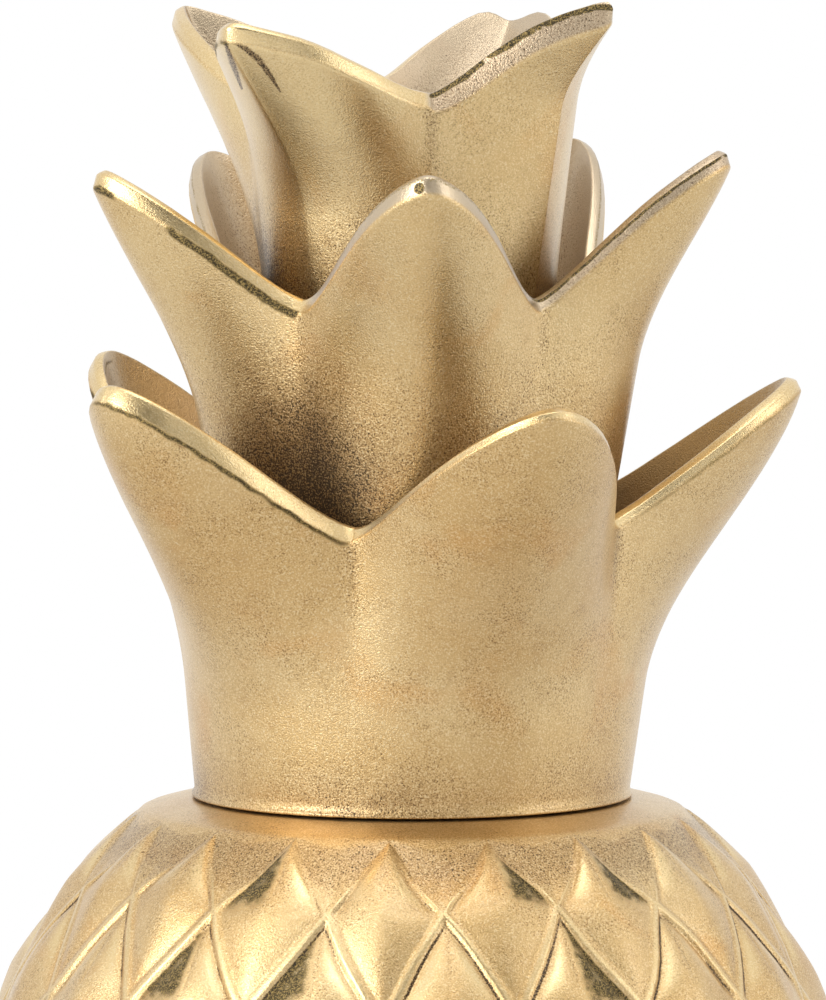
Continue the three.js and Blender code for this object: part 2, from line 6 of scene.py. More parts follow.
import bmesh
import bpy
import numpy as np
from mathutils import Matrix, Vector


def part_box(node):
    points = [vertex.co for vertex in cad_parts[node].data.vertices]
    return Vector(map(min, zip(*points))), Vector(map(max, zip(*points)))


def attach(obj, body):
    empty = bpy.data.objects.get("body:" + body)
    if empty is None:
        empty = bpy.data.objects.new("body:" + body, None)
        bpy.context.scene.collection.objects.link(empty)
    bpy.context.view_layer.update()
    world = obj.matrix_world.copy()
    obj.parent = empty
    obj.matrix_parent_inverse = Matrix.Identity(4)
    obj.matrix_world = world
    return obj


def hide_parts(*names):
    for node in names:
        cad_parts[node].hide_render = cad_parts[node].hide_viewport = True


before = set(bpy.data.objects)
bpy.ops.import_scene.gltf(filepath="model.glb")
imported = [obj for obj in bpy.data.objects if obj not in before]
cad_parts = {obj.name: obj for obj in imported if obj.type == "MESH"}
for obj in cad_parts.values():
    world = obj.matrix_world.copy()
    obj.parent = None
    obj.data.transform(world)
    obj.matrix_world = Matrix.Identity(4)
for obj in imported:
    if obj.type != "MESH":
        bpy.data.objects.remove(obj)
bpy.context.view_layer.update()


# Felt pad: a disc of pressed wool, knife cut and glued under the foot, so that the brass
# doesn't scratch the table. Its cut edge has gone a little round.

mm = 0.001
full_turn = 2 * math.pi


class Wire:
    """A socket's output. Arithmetic on it adds Math nodes to its tree."""

    def __init__(self, graph, socket):
        self.graph, self.socket = graph, socket

    def math(self, operation, *values):
        return self.graph.add("ShaderNodeMath", {"operation": operation}, [self, *values])

    __add__ = __radd__ = partialmethod(math, "ADD")
    __sub__ = partialmethod(math, "SUBTRACT")
    __mul__ = __rmul__ = partialmethod(math, "MULTIPLY")
    __truediv__ = partialmethod(math, "DIVIDE")
    __pow__ = partialmethod(math, "POWER")
    __abs__ = partialmethod(math, "ABSOLUTE")
    larger = partialmethod(math, "MAXIMUM")
    smaller = partialmethod(math, "MINIMUM")
    sine = partialmethod(math, "SINE")
    cosine = partialmethod(math, "COSINE")

    def __rsub__(self, other):
        return (self * -1) + other

    def __rtruediv__(self, other):
        return (self**-1) * other

    def eased(self, low, high):
        """0 at low and 1 at high, with a soft start and stop. Low may be the larger."""
        settings = {"interpolation_type": "SMOOTHSTEP"}
        ends = (low, high, 0, 1) if low < high else (high, low, 1, 0)
        return self.graph.add("ShaderNodeMapRange", settings, [self, *ends])


class Graph:
    """A node tree, written node by node."""

    def __init__(self, tree):
        self.tree = tree
        tree.nodes.clear()

    def add(self, kind, settings=(), values=(), output=0):
        node = self.tree.nodes.new(kind)
        for name, value in dict(settings).items():
            setattr(node, name, value)
        pairs = values.items() if isinstance(values, dict) else enumerate(values)
        for key, value in pairs:
            if isinstance(value, Wire):
                self.tree.links.new(value.socket, node.inputs[key])
            else:
                node.inputs[key].default_value = value
        return Wire(self, node.outputs[output]) if len(node.outputs) else node

    def mix(self, factor, first, second):
        """Between two colours, which are sockets 6 and 7 of the node and its output 2."""
        return self.add("ShaderNodeMix", {"data_type": "RGBA"}, {0: factor, 6: first, 7: second}, 2)

    def noise(self, place, size, detail=2.0, rough=0.5, skew=0.0, output=0):
        """Noise whose lumps are about this size."""
        values = {"Vector": place, "Scale": 1 / size, "Detail": detail}
        values |= {"Roughness": rough, "Distortion": skew}
        return self.add("ShaderNodeTexNoise", {}, values, output)

    def parts(self, vector):
        """The x, y and z of a vector."""
        node = self.add("ShaderNodeSeparateXYZ", {}, [vector]).socket.node
        return [Wire(self, socket) for socket in node.outputs]

    def whole(self, *parts):
        """A vector from its x, y and z."""
        return self.add("ShaderNodeCombineXYZ", {}, parts)

    def vector(self, operation, *values, output=0):
        return self.add("ShaderNodeVectorMath", {"operation": operation}, values, output)


def srgb(red, green, blue):
    """A colour as seen on a screen, 0 to 255, as the linear colour of a node socket."""
    return (*[((c / 255 + 0.055) / 1.055) ** 2.4 for c in (red, green, blue)], 1.0)


def new_material(name):
    """A material, its tree, and the place on the piece that it is worked out for."""
    material = bpy.data.materials.new(name)
    material.use_nodes = True
    graph = Graph(material.node_tree)
    return material, graph, graph.add("ShaderNodeTexCoord", output="Object")


def finish_surface(graph, colour, metallic, roughness, height, depth, lacquer=0.0):
    """Ends a material: height, 0 to 1, is carved to a depth in metres."""
    bump = graph.add("ShaderNodeBump", {}, {"Distance": depth, "Height": height})
    values = {"Base Color": colour, "Metallic": metallic, "Roughness": roughness, "Normal": bump}
    values |= {"Coat Weight": lacquer, "Coat Roughness": 0.22}
    surface = graph.add("ShaderNodeBsdfPrincipled", {}, values)
    graph.add("ShaderNodeOutputMaterial", {}, {"Surface": surface})


def new_object(name, points, faces, attributes=()):
    mesh = bpy.data.meshes.new(name)
    mesh.from_pydata(np.asarray(points, float).tolist(), [], faces)
    for title, values in dict(attributes).items():
        kind, field = ("FLOAT", "value") if np.ndim(values) == 1 else ("FLOAT_VECTOR", "vector")
        layer = mesh.attributes.new(title, kind, "POINT")
        layer.data.foreach_set(field, np.asarray(values, np.float32).ravel())
    piece = bpy.data.objects.new(name, mesh)
    bpy.context.scene.collection.objects.link(piece)
    return piece


def lattice(rows, columns, wrap_rows=False):
    """Faces between rows of points that each close into a ring."""
    faces = []
    pairs = [(c, (c + 1) % columns) for c in range(columns)]
    for r in range(rows if wrap_rows else rows - 1):
        above, here = (r + 1) % rows * columns, r * columns
        faces += [(here + c, here + d, above + d, above + c) for c, d in pairs]
    return faces


def softened(profile, radius, steps=4):
    """Rounds the corners of a section, given as (radius, height) pairs, but not its ends."""
    path = [Vector(p) for p in profile]
    soft = [path[0]]
    for before, corner, after in zip(path, path[1:], path[2:]):
        reach = min(radius, (before - corner).length * 0.45, (after - corner).length * 0.45)
        first = corner + (before - corner).normalized() * reach
        last = corner + (after - corner).normalized() * reach
        for step in range(steps + 1):
            t = step / steps
            soft.append(first * (1 - t) ** 2 + corner * (2 * t * (1 - t)) + last * t**2)
    return [tuple(p) for p in [*soft, path[-1]]]


def close_up(piece, smooth_below):
    """Merges doubles, turns every face outwards and shades smooth up to an angle."""
    shape = bmesh.new()
    shape.from_mesh(piece.data)
    bmesh.ops.remove_doubles(shape, verts=shape.verts, dist=1e-6)
    bmesh.ops.dissolve_degenerate(shape, edges=shape.edges, dist=1e-7)
    bmesh.ops.recalc_face_normals(shape, faces=shape.faces)
    shape.to_mesh(piece.data)
    shape.free()
    piece.data.shade_smooth()
    piece.data.set_sharp_from_angle(angle=math.radians(smooth_below))


def circle(radius, height, turns):
    """Points about the axis at these turns, counted from the side that faces the camera."""
    return np.stack([radius * np.sin(turns), -radius * np.cos(turns), turns * 0 + height], 1)


def skinned(name, rows, material, smooth_below=35, ring=False):
    """A piece whose skin runs over rows of points. With ring, the last row joins the first."""
    piece = new_object(name, np.concatenate(rows), lattice(len(rows), len(rows[0]), ring))
    close_up(piece, smooth_below)
    piece.data.materials.append(material)
    return piece


def turned(name, profile, material, sides=96, ring=False):
    """A turned piece from a section of (radius, height) pairs in metres."""
    turns = np.arange(sides) * full_turn / sides
    return skinned(name, [circle(r, h, turns) for r, h in profile], material, ring=ring)


def in_place(piece, body, slot, *stands_for):
    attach(piece, body)
    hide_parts(*stands_for)


def node_section(node):
    """The outer radius, the bottom and the top of a turned CAD node."""
    low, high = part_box(node)
    return high.x, low.z, high.z


wool, graph, place = new_material("pressed wool")
fibres = graph.noise(place, 0.35 * mm, 6.0, 0.7, 1.5)
lint = graph.noise(place, 4 * mm, 3.0)
shade = graph.mix(fibres, srgb(44, 37, 31), srgb(86, 74, 62))
shade = graph.mix(lint * 0.4, shade, srgb(104, 92, 78))
finish_surface(graph, shade, 0.0, 0.9 + 0.1 * fibres, fibres, 0.2 * mm)

radius, bottom, top = node_section("felt_pad")
section = softened([(0, bottom), (radius, bottom), (radius, top), (0, top)], 0.4 * mm)
felt_pad = turned("felt_disc", section, wool)
in_place(felt_pad, "box", "felt", "felt_pad")


# Base plate: a turned brass disc that closes the foot, with the rings that the tool left on it.
# It lies in a rebate under the ledge of the body and three steel screws hold it.

def turned_brass():
    material, graph, place = new_material("turned brass")
    east, north, height = graph.parts(place)
    out = (east * east + north * north) ** 0.5
    marks = graph.noise(graph.whole(out, height, 0.0), 0.18 * mm, 3.0, 0.6)
    tarnish = graph.noise(place, 9 * mm, 4.0, 0.6, 0.4)
    touched = graph.noise(place, 1.2 * mm, 2.0)
    colour = graph.mix(tarnish.eased(0.35, 0.7), srgb(222, 190, 128), srgb(196, 152, 88))
    colour = graph.mix(touched.eased(0.62, 0.72) * 0.5, colour, srgb(128, 96, 56))
    finish_surface(graph, colour, 1.0, 0.2 + 0.14 * tarnish + 0.06 * marks, marks, 0.012 * mm)
    return material


bright_brass = turned_brass()
base_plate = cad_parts["base_plate"]
base_plate.data.materials.clear()
base_plate.data.materials.append(bright_brass)


# Base screws: three countersunk steel screws with a slot, zinc plated, in the holes of the base
# plate. Each is the same screw, set on a circle.

slot_width, slot_depth = 1 * mm, 1.1 * mm
screw_section = [(0, 0), (3.8, 0), (2, 1.8), (2, 7.5), (1.5, 8), (0, 8)]  # in mm, head down
plate_gap, ledge_width = 0.25 * mm, 8 * mm


def zinc_steel():
    material, graph, place = new_material("zinc plated steel")
    spangle = graph.noise(place, 1.5 * mm, 3.0, 0.6)
    scratch = graph.noise(place, 0.2 * mm, 2.0, 0.6, 1.0)
    colour = graph.mix(spangle.eased(0.35, 0.65), srgb(188, 188, 184), srgb(160, 160, 158))
    colour = graph.mix(scratch.eased(0.64, 0.74) * 0.5, colour, srgb(104, 98, 90))
    finish_surface(graph, colour, 1.0, 0.26 + 0.16 * spangle, scratch, 0.01 * mm)
    return material


def start_tree(name, kinds):
    """A geometry tree that takes these kinds of values by name, and its inputs."""
    tree = bpy.data.node_groups.new(name, "GeometryNodeTree")
    graph = Graph(tree)
    for title, kind in kinds.items():
        tree.interface.new_socket(title, in_out="INPUT", socket_type="NodeSocket" + kind)
    tree.interface.new_socket("Geometry", in_out="OUTPUT", socket_type="NodeSocketGeometry")
    sockets = tree.nodes.new("NodeGroupInput").outputs
    return graph, {title: Wire(graph, sockets[title]) for title in kinds}


def end_tree(graph, geometry, material):
    real = graph.add("GeometryNodeRealizeInstances", {}, [geometry])
    done = graph.add("GeometryNodeSetMaterial", {}, {"Geometry": real, "Material": material})
    graph.add("NodeGroupOutput", {}, [done])
    return graph.tree


def mesh_of(graph, piece):
    return graph.add("GeometryNodeObjectInfo", {}, {"Object": piece}, "Geometry")


def copies(graph, piece, points):
    values = {"Points": points, "Instance": mesh_of(graph, piece)}
    return graph.add("GeometryNodeInstanceOnPoints", {}, values)


def about_axis(graph, turn, radius, height):
    """The spot at this turn about the axis, counted from the side that faces the camera."""
    return graph.whole(turn.sine() * radius, turn.cosine() * radius * -1, height)


def screws_tree():
    kinds = {"Screw": "Object", "Count": "Int", "Circle": "Float", "Head": "Float"}
    graph, given = start_tree("screws on a circle", kinds | {"Material": "Material"})
    turn = (graph.add("GeometryNodeInputIndex") + 0.5) / given["Count"] * full_turn
    spot = about_axis(graph, turn, given["Circle"], given["Head"])
    points = graph.add("GeometryNodePoints", {}, {"Count": given["Count"], "Position": spot})
    return end_tree(graph, copies(graph, given["Screw"], points), given["Material"])


def keep_result(piece):
    """Makes the result of the piece's modifier its plain mesh."""
    shown = piece.evaluated_get(bpy.context.evaluated_depsgraph_get())
    piece.data = bpy.data.meshes.new_from_object(shown)
    piece.modifiers.clear()


def shaped_by(piece, tree, values):
    """Runs a geometry tree on a piece with those values that it takes, and keeps the result."""
    modifier = piece.modifiers.new(tree.name, "NODES")
    modifier.node_group = tree
    for item in tree.interface.items_tree:
        if item.in_out == "INPUT" and item.name in values:
            modifier[item.identifier] = values[item.name]
    keep_result(piece)


bright_steel = zinc_steel()
section = softened([(r * mm, h * mm) for r, h in screw_section], 0.15 * mm)
one_screw = turned("one_screw", section, bright_steel, 48)
corners = np.array([(x, y, z) for z in (-1, 1) for y in (-1, 1) for x in (-1, 1)])
cutter = new_object(
    "slot",
    corners * [5 * mm, slot_width / 2, slot_depth],
    [(0, 2, 3, 1), (4, 5, 7, 6), (0, 1, 5, 4), (2, 6, 7, 3), (0, 4, 6, 2), (1, 3, 7, 5)],
)
slotting = one_screw.modifiers.new("slot", "BOOLEAN")
slotting.object, slotting.solver = cutter, "EXACT"
keep_result(one_screw)
one_screw.data.set_sharp_from_angle(angle=math.radians(35))

plate_radius = node_section("base_plate")[0]
ledge_radius = plate_radius + plate_gap - ledge_width
base_screws = new_object("base_screws", [(0, 0, 0)], [])
sizes = {"Screw": one_screw, "Count": 3, "Circle": (ledge_radius + plate_radius) / 2}
sizes |= {"Head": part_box("base_screw_1")[0].z, "Material": bright_steel}
shaped_by(base_screws, screws_tree(), sizes)
for spare in (one_screw, cutter):
    bpy.data.objects.remove(spare)
in_place(base_screws, "box", "steel", "base_screw_1", "base_screw_2", "base_screw_3")


# Body: one hollow casting. Its skin is nine rows of raised diamonds, eighteen round, that keep
# their proportions from the neck to the foot. The land round the mouth was turned after casting.

land_height = 180 * mm
widest_height = 103 * mm
widest_radius = 70.4 * mm
shoulder = (40.8 * mm, 178.1 * mm)  # where the diamonds start
foot_band = (45.4 * mm, 6 * mm)  # where they end
diamonds_round = 18
diamond_rows = 9
first_diamond = math.radians(-4.6)
# Rises as shares of the body's radius there: the middle of a diamond, the ridge round it, and
# the crease inside the ridge on its upper and lower sides.
peak_rise, ridge_rise, upper_crease, lower_crease = 0.033, 0.013, 0.003, 0.0105
pillow_rise = 0.015
crease_share, ridge_share = 0.835, 0.985  # of the way out from a diamond's middle
side_shares = np.array([0, 0.045, 0.14, 0.3, 0.5, 0.7, 0.86, 0.955])
ring_shares = [0.1, 0.22, 0.34, 0.46, 0.58, 0.68, 0.76, 0.81, 0.835, 0.855, 0.875, 0.895, 0.915, 0.935]
ring_shares += [0.955, 0.975, 1.0]
fold_soft, upper_blend = 0.045, 0.24
steps_per_level = 20
weld = 0.01 * mm


def half_ellipse(end):
    """Half the height of the ellipse from the widest place through this end of the diamonds."""
    return (end[1] - widest_height) / math.sqrt(1 - (end[0] / widest_radius) ** 2)


def outline():
    """Radius, height and outward normal of the groove floor, evenly spaced in levels."""
    heights = np.linspace(shoulder[1], foot_band[1], 4001)
    above = heights > widest_height
    axis = np.where(above, half_ellipse(shoulder), half_ellipse(foot_band))
    radii = widest_radius * np.sqrt(1 - ((heights - widest_height) / axis) ** 2)
    slope = (widest_radius / axis) ** 2 * (heights - widest_height) / radii
    run = np.hypot(np.diff(radii), np.diff(heights)) / radii[1:]
    level = np.concatenate([[0], np.cumsum(run)])
    level *= (diamond_rows + 1) / level[-1]
    wanted = np.linspace(0, diamond_rows + 1, (diamond_rows + 1) * steps_per_level + 1)
    normal = np.stack([np.ones_like(slope), slope], 1) / np.hypot(1, slope)[:, None]
    return [np.interp(wanted, level, v) for v in (radii, heights, normal[:, 0], normal[:, 1])]


def diamond():
    """One diamond, in half widths across and levels down, with its rise as the third axis."""
    corners = np.array([(0, -1), (1, 0), (0, 1), (-1, 0)])
    flat = [(0, 0)]
    for share in ring_shares:
        for corner, following in zip(corners, np.roll(corners, -1, 0)):
            flat += [tuple(share * (corner + (following - corner) * q)) for q in side_shares]
    flat = np.array(flat)
    count = 4 * len(side_shares)
    faces = [(0, 1 + (i + 1) % count, 1 + i) for i in range(count)]
    faces += [tuple(v + 1 for v in face[::-1]) for face in lattice(len(ring_shares), count)]
    bent = (np.hypot(flat, fold_soft) - fold_soft) / (math.hypot(1, fold_soft) - fold_soft)
    inside = np.clip(bent.sum(1) / crease_share, 0, 1)
    edge = np.abs(flat).sum(1)
    upper = np.clip(0.5 - flat[:, 1] / upper_blend, 0, 1)
    crease = lower_crease + (upper_crease - lower_crease) * upper
    facet = crease + (peak_rise - crease) * (1 - inside)
    pillow = 16 * np.abs(flat[:, 0] * flat[:, 1]) * np.clip(1 - edge / crease_share, 0, 1)
    facet += pillow_rise * pillow * (0.3 + 0.7 * upper)
    climb = np.clip((edge - crease_share) / (ridge_share - crease_share), 0, 1)
    ridge = climb * climb * (3 - 2 * climb)
    net = np.concatenate([flat, (facet * (1 - ridge))[:, None]], 1)
    attributes = {"on_diamond": np.concatenate([flat, edge[:, None]], 1), "ridge": ridge}
    return new_object("one_diamond", net, faces, attributes)


def margins():
    """Plain triangles between the first diamonds' tops and between the last ones' feet."""
    across = np.concatenate([side_shares - 1, [0], 1 - side_shares[::-1]])
    down = 1 - np.abs(across)
    shares = np.linspace(0, 1, 5)
    wide = len(across)
    points, faces = [], []
    for level, way in ((0, 1), (diamond_rows + 1, -1)):
        for column in range(diamonds_round):
            start = len(points)
            for share in shares:
                points += [(2 * column + 1 + a, level + way * share * d, 0) for a, d in zip(across, down)]
            for r in range(len(shares) - 1):
                for corner in range(start + r * wide, start + (r + 1) * wide - 1):
                    faces.append((corner, corner + wide, corner + wide + 1, corner + 1)[::way])
    beyond = np.tile([0, 0, 1.2], (len(points), 1))  # further out than any ridge
    ridge = np.tile(np.repeat(shares**6, wide), 2 * diamonds_round)
    return new_object("margins", points, faces, {"on_diamond": beyond, "ridge": ridge})


def joined(graph, first, second):
    both = graph.add("GeometryNodeJoinGeometry", {}, [first])
    graph.tree.links.new(second.socket, both.socket.node.inputs[0])
    return both


def named(graph, name, kind="FLOAT"):
    return graph.add("GeometryNodeInputNamedAttribute", {"data_type": kind}, [name])


def diamond_tree():
    kinds = {"Geometry": "Geometry", "Diamond": "Object", "Margins": "Object", "Outline": "Object"}
    kinds |= {"Turned parts": "Object", "Half turn": "Float", "First": "Float", "Waver": "Float"}
    kinds |= {"Steps": "Float", "Levels": "Float", "Material": "Material"}
    graph, given = start_tree("skin of diamonds", kinds)
    placed = copies(graph, given["Diamond"], given["Geometry"])
    net = graph.add("GeometryNodeRealizeInstances", {}, [placed])
    net = joined(graph, net, mesh_of(graph, given["Margins"]))

    across, level, rise = graph.parts(graph.add("GeometryNodeInputPosition"))
    turn = across * given["Half turn"] + given["First"]
    # The pattern was cut by hand: its lines waver, and steady down towards neck and foot.
    stray = graph.whole(turn.sine() * 3.0, turn.cosine() * 3.0, level)
    sideways, upwards, _ = graph.parts(graph.noise(stray, 1 / 0.9, 1.0, output="Color"))
    end = level.smaller(given["Levels"] - level)
    ridge = named(graph, "ridge")
    # The outermost tips are full lobes: their facets rise more steeply from the edge.
    power = 1 - 0.4 * end.eased(0.9, 0.2)
    rise = (rise / peak_rise) ** power * peak_rise
    rise = rise * end.eased(0.0, 0.12) + ridge * ridge_rise * end.eased(0.4, 1.0)
    steady = level.eased(0.0, 0.8) * (given["Levels"] - level).eased(0.0, 0.8) * given["Waver"]
    turn = turn + (sideways - 0.5) * steady * given["Half turn"]
    level = level + (upwards - 0.5) * steady

    step = level * given["Steps"]
    whole = step.math("FLOOR")

    def sampled(name, index):
        settings = {"data_type": "FLOAT_VECTOR", "clamp": True}
        values = [mesh_of(graph, given["Outline"]), named(graph, name, "FLOAT_VECTOR"), index]
        return graph.add("GeometryNodeSampleIndex", settings, values)

    def on_outline(name):
        values = {0: step - whole, 4: sampled(name, whole), 5: sampled(name, whole + 1)}
        mixed = graph.add("ShaderNodeMix", {"data_type": "VECTOR"}, values, 1)
        return graph.parts(mixed)[::2]

    radius, height = on_outline("point")
    outwards, upwards = on_outline("normal")
    lift = rise * radius
    radius = radius + outwards * lift
    height = height + upwards * lift
    values = {"Geometry": net, "Position": about_axis(graph, turn, radius, height)}
    skin = graph.add("GeometryNodeSetPosition", {}, values)
    body = joined(graph, skin, mesh_of(graph, given["Turned parts"]))
    body = graph.add("GeometryNodeMergeByDistance", {}, {"Geometry": body, "Distance": weld})
    return end_tree(graph, body, given["Material"])


def brass_casting(name, patina_and_shade_at, polish_and_highlight_at, skin_at, pale_reflection_at=None):
    """Cast brass, shaken bright in a drum: tan, with a fine grain. Patina with painted shade darkens
    the hollows, filed edges are bright with a painted highlight, some faces carry a pale painted
    reflection, and the black casting skin is left where no tool has come. Each place is given by
    a mask, a function of the tree and the Object coordinates."""
    material, graph, place = new_material(name)
    grain = graph.noise(place, 0.26 * mm, 2.0, 0.6)
    mottle = graph.noise(place, 2.4 * mm, 3.0, 0.6)
    cloud = graph.noise(place, 24 * mm, 2.0, 0.5, 0.3)
    warmth = graph.noise(place, 13 * mm, 2.0, 0.5, 0.6)
    patina_and_shade, polish_and_highlight, skin = (mask(graph, place) for mask in (patina_and_shade_at, polish_and_highlight_at, skin_at))

    clusters = graph.noise(place, 7 * mm, 3.0).eased(0.4, 0.66)
    flecks = grain.eased(0.48, 0.3) * (0.22 + 0.58 * clusters) * (1 - 0.8 * polish_and_highlight)
    # Patina in the hollows, with painted shade added where shade falls in them.
    thin_patina_and_shade = (patina_and_shade * 1.3 + (0.5 - grain) * 1.4 * patina_and_shade.eased(0.0, 0.2) - 0.1).eased(0.0, 1.0)
    thick_patina_and_shade = (patina_and_shade * 1.7 + (0.5 - grain) * 5.0 - 1.05).eased(0.0, 0.7)
    crust = (skin + (grain - 0.5) * 1.4).eased(0.15, 0.65)
    layers = [
        (warmth.eased(0.55, 0.75) * 0.35, (206, 150, 78)),  # warm clouds
        (mottle.eased(0.5, 0.75) * 0.25, (170, 132, 84)),  # tarnished spots
        # Filed edges worn bright, with a painted highlight on them.
        (polish_and_highlight * 0.7, (240, 216, 162)),
        (grain.eased(0.5, 0.72) * 0.6, (250, 232, 190)),  # the tops of the grain
        (flecks, (112, 80, 44)),  # patina between the grains
        # A pale painted reflection of the white surroundings.
        (pale_reflection_at(graph, place) * 0.75 if pale_reflection_at else 0.0, (194, 178, 156)),
        (thin_patina_and_shade * 0.75, (122, 90, 52)),  # thin patina and painted shade in the hollows
        (thick_patina_and_shade * 0.9, (50, 39, 27)),  # thick patina and painted shade at their deepest
    ]
    colour = graph.mix(cloud.eased(0.35, 0.65), srgb(214, 184, 132), srgb(205, 170, 113))
    for share, tint in layers:
        colour = graph.mix(share, colour, srgb(*tint))
    black = graph.mix(grain.eased(0.42, 0.66), srgb(42, 36, 20), srgb(156, 132, 78))
    colour = graph.mix(crust * 0.95, colour, black)

    rough = 0.36 + 0.06 * mottle - 0.12 * polish_and_highlight + 0.12 * thick_patina_and_shade + 0.2 * crust
    height = grain * (1 - 0.8 * polish_and_highlight**2) + 0.4 * mottle
    metal = 1 - 0.3 * thick_patina_and_shade - 0.3 * crust
    lacquer = 0.45 * (1 - crust) * (1 - 0.6 * thick_patina_and_shade)
    finish_surface(graph, colour, metal, rough, height, 0.09 * mm, lacquer)
    return material


def attribute(graph, name, output="Fac"):
    return graph.add("ShaderNodeAttribute", {"attribute_name": name}, [], output)


def on_diamond(graph):
    """The place across and down one diamond, and the share of the way out to its edge."""
    return graph.parts(attribute(graph, "on_diamond", "Vector"))


def in_mm(graph, place):
    return [part / mm for part in graph.parts(place)]


def crease_patina_and_shade(graph, place):
    """Patina and painted shade round the mouth below the crown's foot, in the crease under each ridge,
    and between two facets.
    """
    across, down, edge = on_diamond(graph)
    height = in_mm(graph, place)[2]
    low = height.eased(172, 166) * graph.noise(place, 12 * mm, 2.0).eased(0.4, 0.55)
    line = edge.eased(0.825, 0.87) * edge.eased(0.92, 0.88) * down.eased(0.06, -0.12)
    fold = abs(across).eased(0.08, 0.0) * (down * -1).eased(0.1, 0.5)
    seam = edge.eased(0.93, 1.0) * height.eased(169, 172)
    # Painted shade with patina below the crown's foot.
    neck = height.eased(168, 174) * (0.46 - 0.24 * height.eased(176, 179))
    neck = neck * (0.45 + 0.55 * edge.eased(0.88, 1.0))
    return (line * (0.25 + 0.85 * low)).larger(fold * 0.3).larger(seam * 0.35).larger(neck)


def ridge_polish_and_highlight(graph, place):
    """The ridges were filed bright and carry a painted highlight, and the swell of each upper facet
    carries a painted highlight, where light from above falls.
    """
    across, down, edge = on_diamond(graph)
    below_neck = in_mm(graph, place)[2].eased(174, 170)
    ridge = edge.eased(0.92, 0.98) * edge.eased(1.1, 1.02) * below_neck
    # Painted highlight on the swell of each upper facet, lit from above.
    upper_facet_highlight = (abs(across) * down * -16).eased(0.3, 2.2) * edge.eased(0.84, 0.7)
    return (ridge * 0.65).larger(upper_facet_highlight * 0.9)


def rough_patch(graph, place):
    """The upper left or right facet of a few diamonds was too low for the drum's stones."""
    across, down, edge = on_diamond(graph)
    side = attribute(graph, "patch")
    there = (across * side).eased(-0.02, 0.22) * (down * -1).eased(-0.08, 0.22)
    uneven = 0.55 + 0.45 * graph.noise(place, 1.5 * mm, 3.0).eased(0.35, 0.6)
    return there * edge.eased(0.92, 0.86) * uneven


radii, heights, outwards, upwards = outline()
nothing = np.zeros_like(radii)
outline_points = np.stack([radii, nothing, heights], 1)
attributes = {"point": outline_points, "normal": np.stack([outwards, nothing, upwards], 1)}
template = new_object("outline", outline_points, [], attributes)


def cavity(level, wall):
    """A point of the inner face, this thickness of wall inside the groove floor."""
    step = int(level * steps_per_level)
    return (radii[step] - outwards[step] * wall, heights[step] - upwards[step] * wall)


# Radii and heights in mm: the neck with its mouth, and the underside from the ledge outwards.
neck = [(39.9, 178.5), (38.6, 178.85), (36.6, 179.35), (34.6, 179.84), (33.4, 179.93), (29.9, 180)]
neck += [(29.45, 179.93), (29.12, 179.7), (29, 179.2), (29, 175)]
foot = [(33.25, 9.7), (33.25, 4.2), (41.25, 4.2), (41.25, 1.4), (44.9, 1.4), (45.5, 1.65), (45.9, 2.4)]
foot += [(45.9, 5.3), (45.75, 5.7)]
section = [shoulder] + [(r * mm, h * mm) for r, h in neck]
section += [cavity(level, 5 * mm) for level in (0.2, 0.5)]
section += [cavity(level, 3.6 * mm) for level in np.arange(1, 9.8, 0.5)]
section += [(r * mm, h * mm) for r, h in foot] + [foot_band]
half_turns = (np.arange(2 * diamonds_round)[:, None] + side_shares).ravel()
angles = first_diamond + half_turns * math.pi / diamonds_round
rows = [circle(r, h, angles) for r, h in section]
turned_parts = new_object("turned_parts", np.concatenate(rows), lattice(len(rows), len(angles)))

# Diamonds with a rough patch, by row and place round: to the left below zero, else to the right.
patched = {(1, 17): -0.9, (1, 1): 0.5, (1, 2): 0.6, (2, 16): -1, (2, 17): -0.7, (2, 1): 1}
layout = [(row, column) for row in range(1, diamond_rows + 1) for column in range(diamonds_round)]
centres = [(2 * column + (row + 1) % 2, row, 0) for row, column in layout]
patches = np.array([patched.get(spot, 0.0) for spot in layout])
body = new_object("body_casting", centres, [], {"patch": patches})
body_parts = {"Diamond": diamond(), "Margins": margins(), "Outline": template}
body_parts["Turned parts"] = turned_parts
sizes = {"Half turn": math.pi / diamonds_round, "First": first_diamond, "Waver": 0.35}
sizes |= {"Steps": float(steps_per_level), "Levels": float(diamond_rows + 1)}
sizes["Material"] = brass_casting("cast brass, body", crease_patina_and_shade, ridge_polish_and_highlight, rough_patch)
shaped_by(body, diamond_tree(), body_parts | sizes)
for spare in body_parts.values():
    bpy.data.objects.remove(spare)
close_up(body, 60)
in_place(body, "box", "cast_brass", "body_shell")


# Crown whorls: three castings, each a cup of leaves, one inside the other. The wall starts round
# at the foot; higher up the keels of the leaves swing out further than the valleys between them.
# The rim is bevelled outside. A tie rod through the foot of each holds them together.

whorl_wall = 2.8 * mm
bevel_width, bevel_depth = 2 * mm, 1.7 * mm
bevel_softness = 0.35 * mm
inner_fillet = 1.6 * mm
rod_hole = 3.3 * mm
half_leaf_columns = 22
outer_rows, inner_rows = 44, 30
seat_gap = 0.3 * mm
tuck = 10.7 * mm  # from a notch down to the foot of the next whorl in


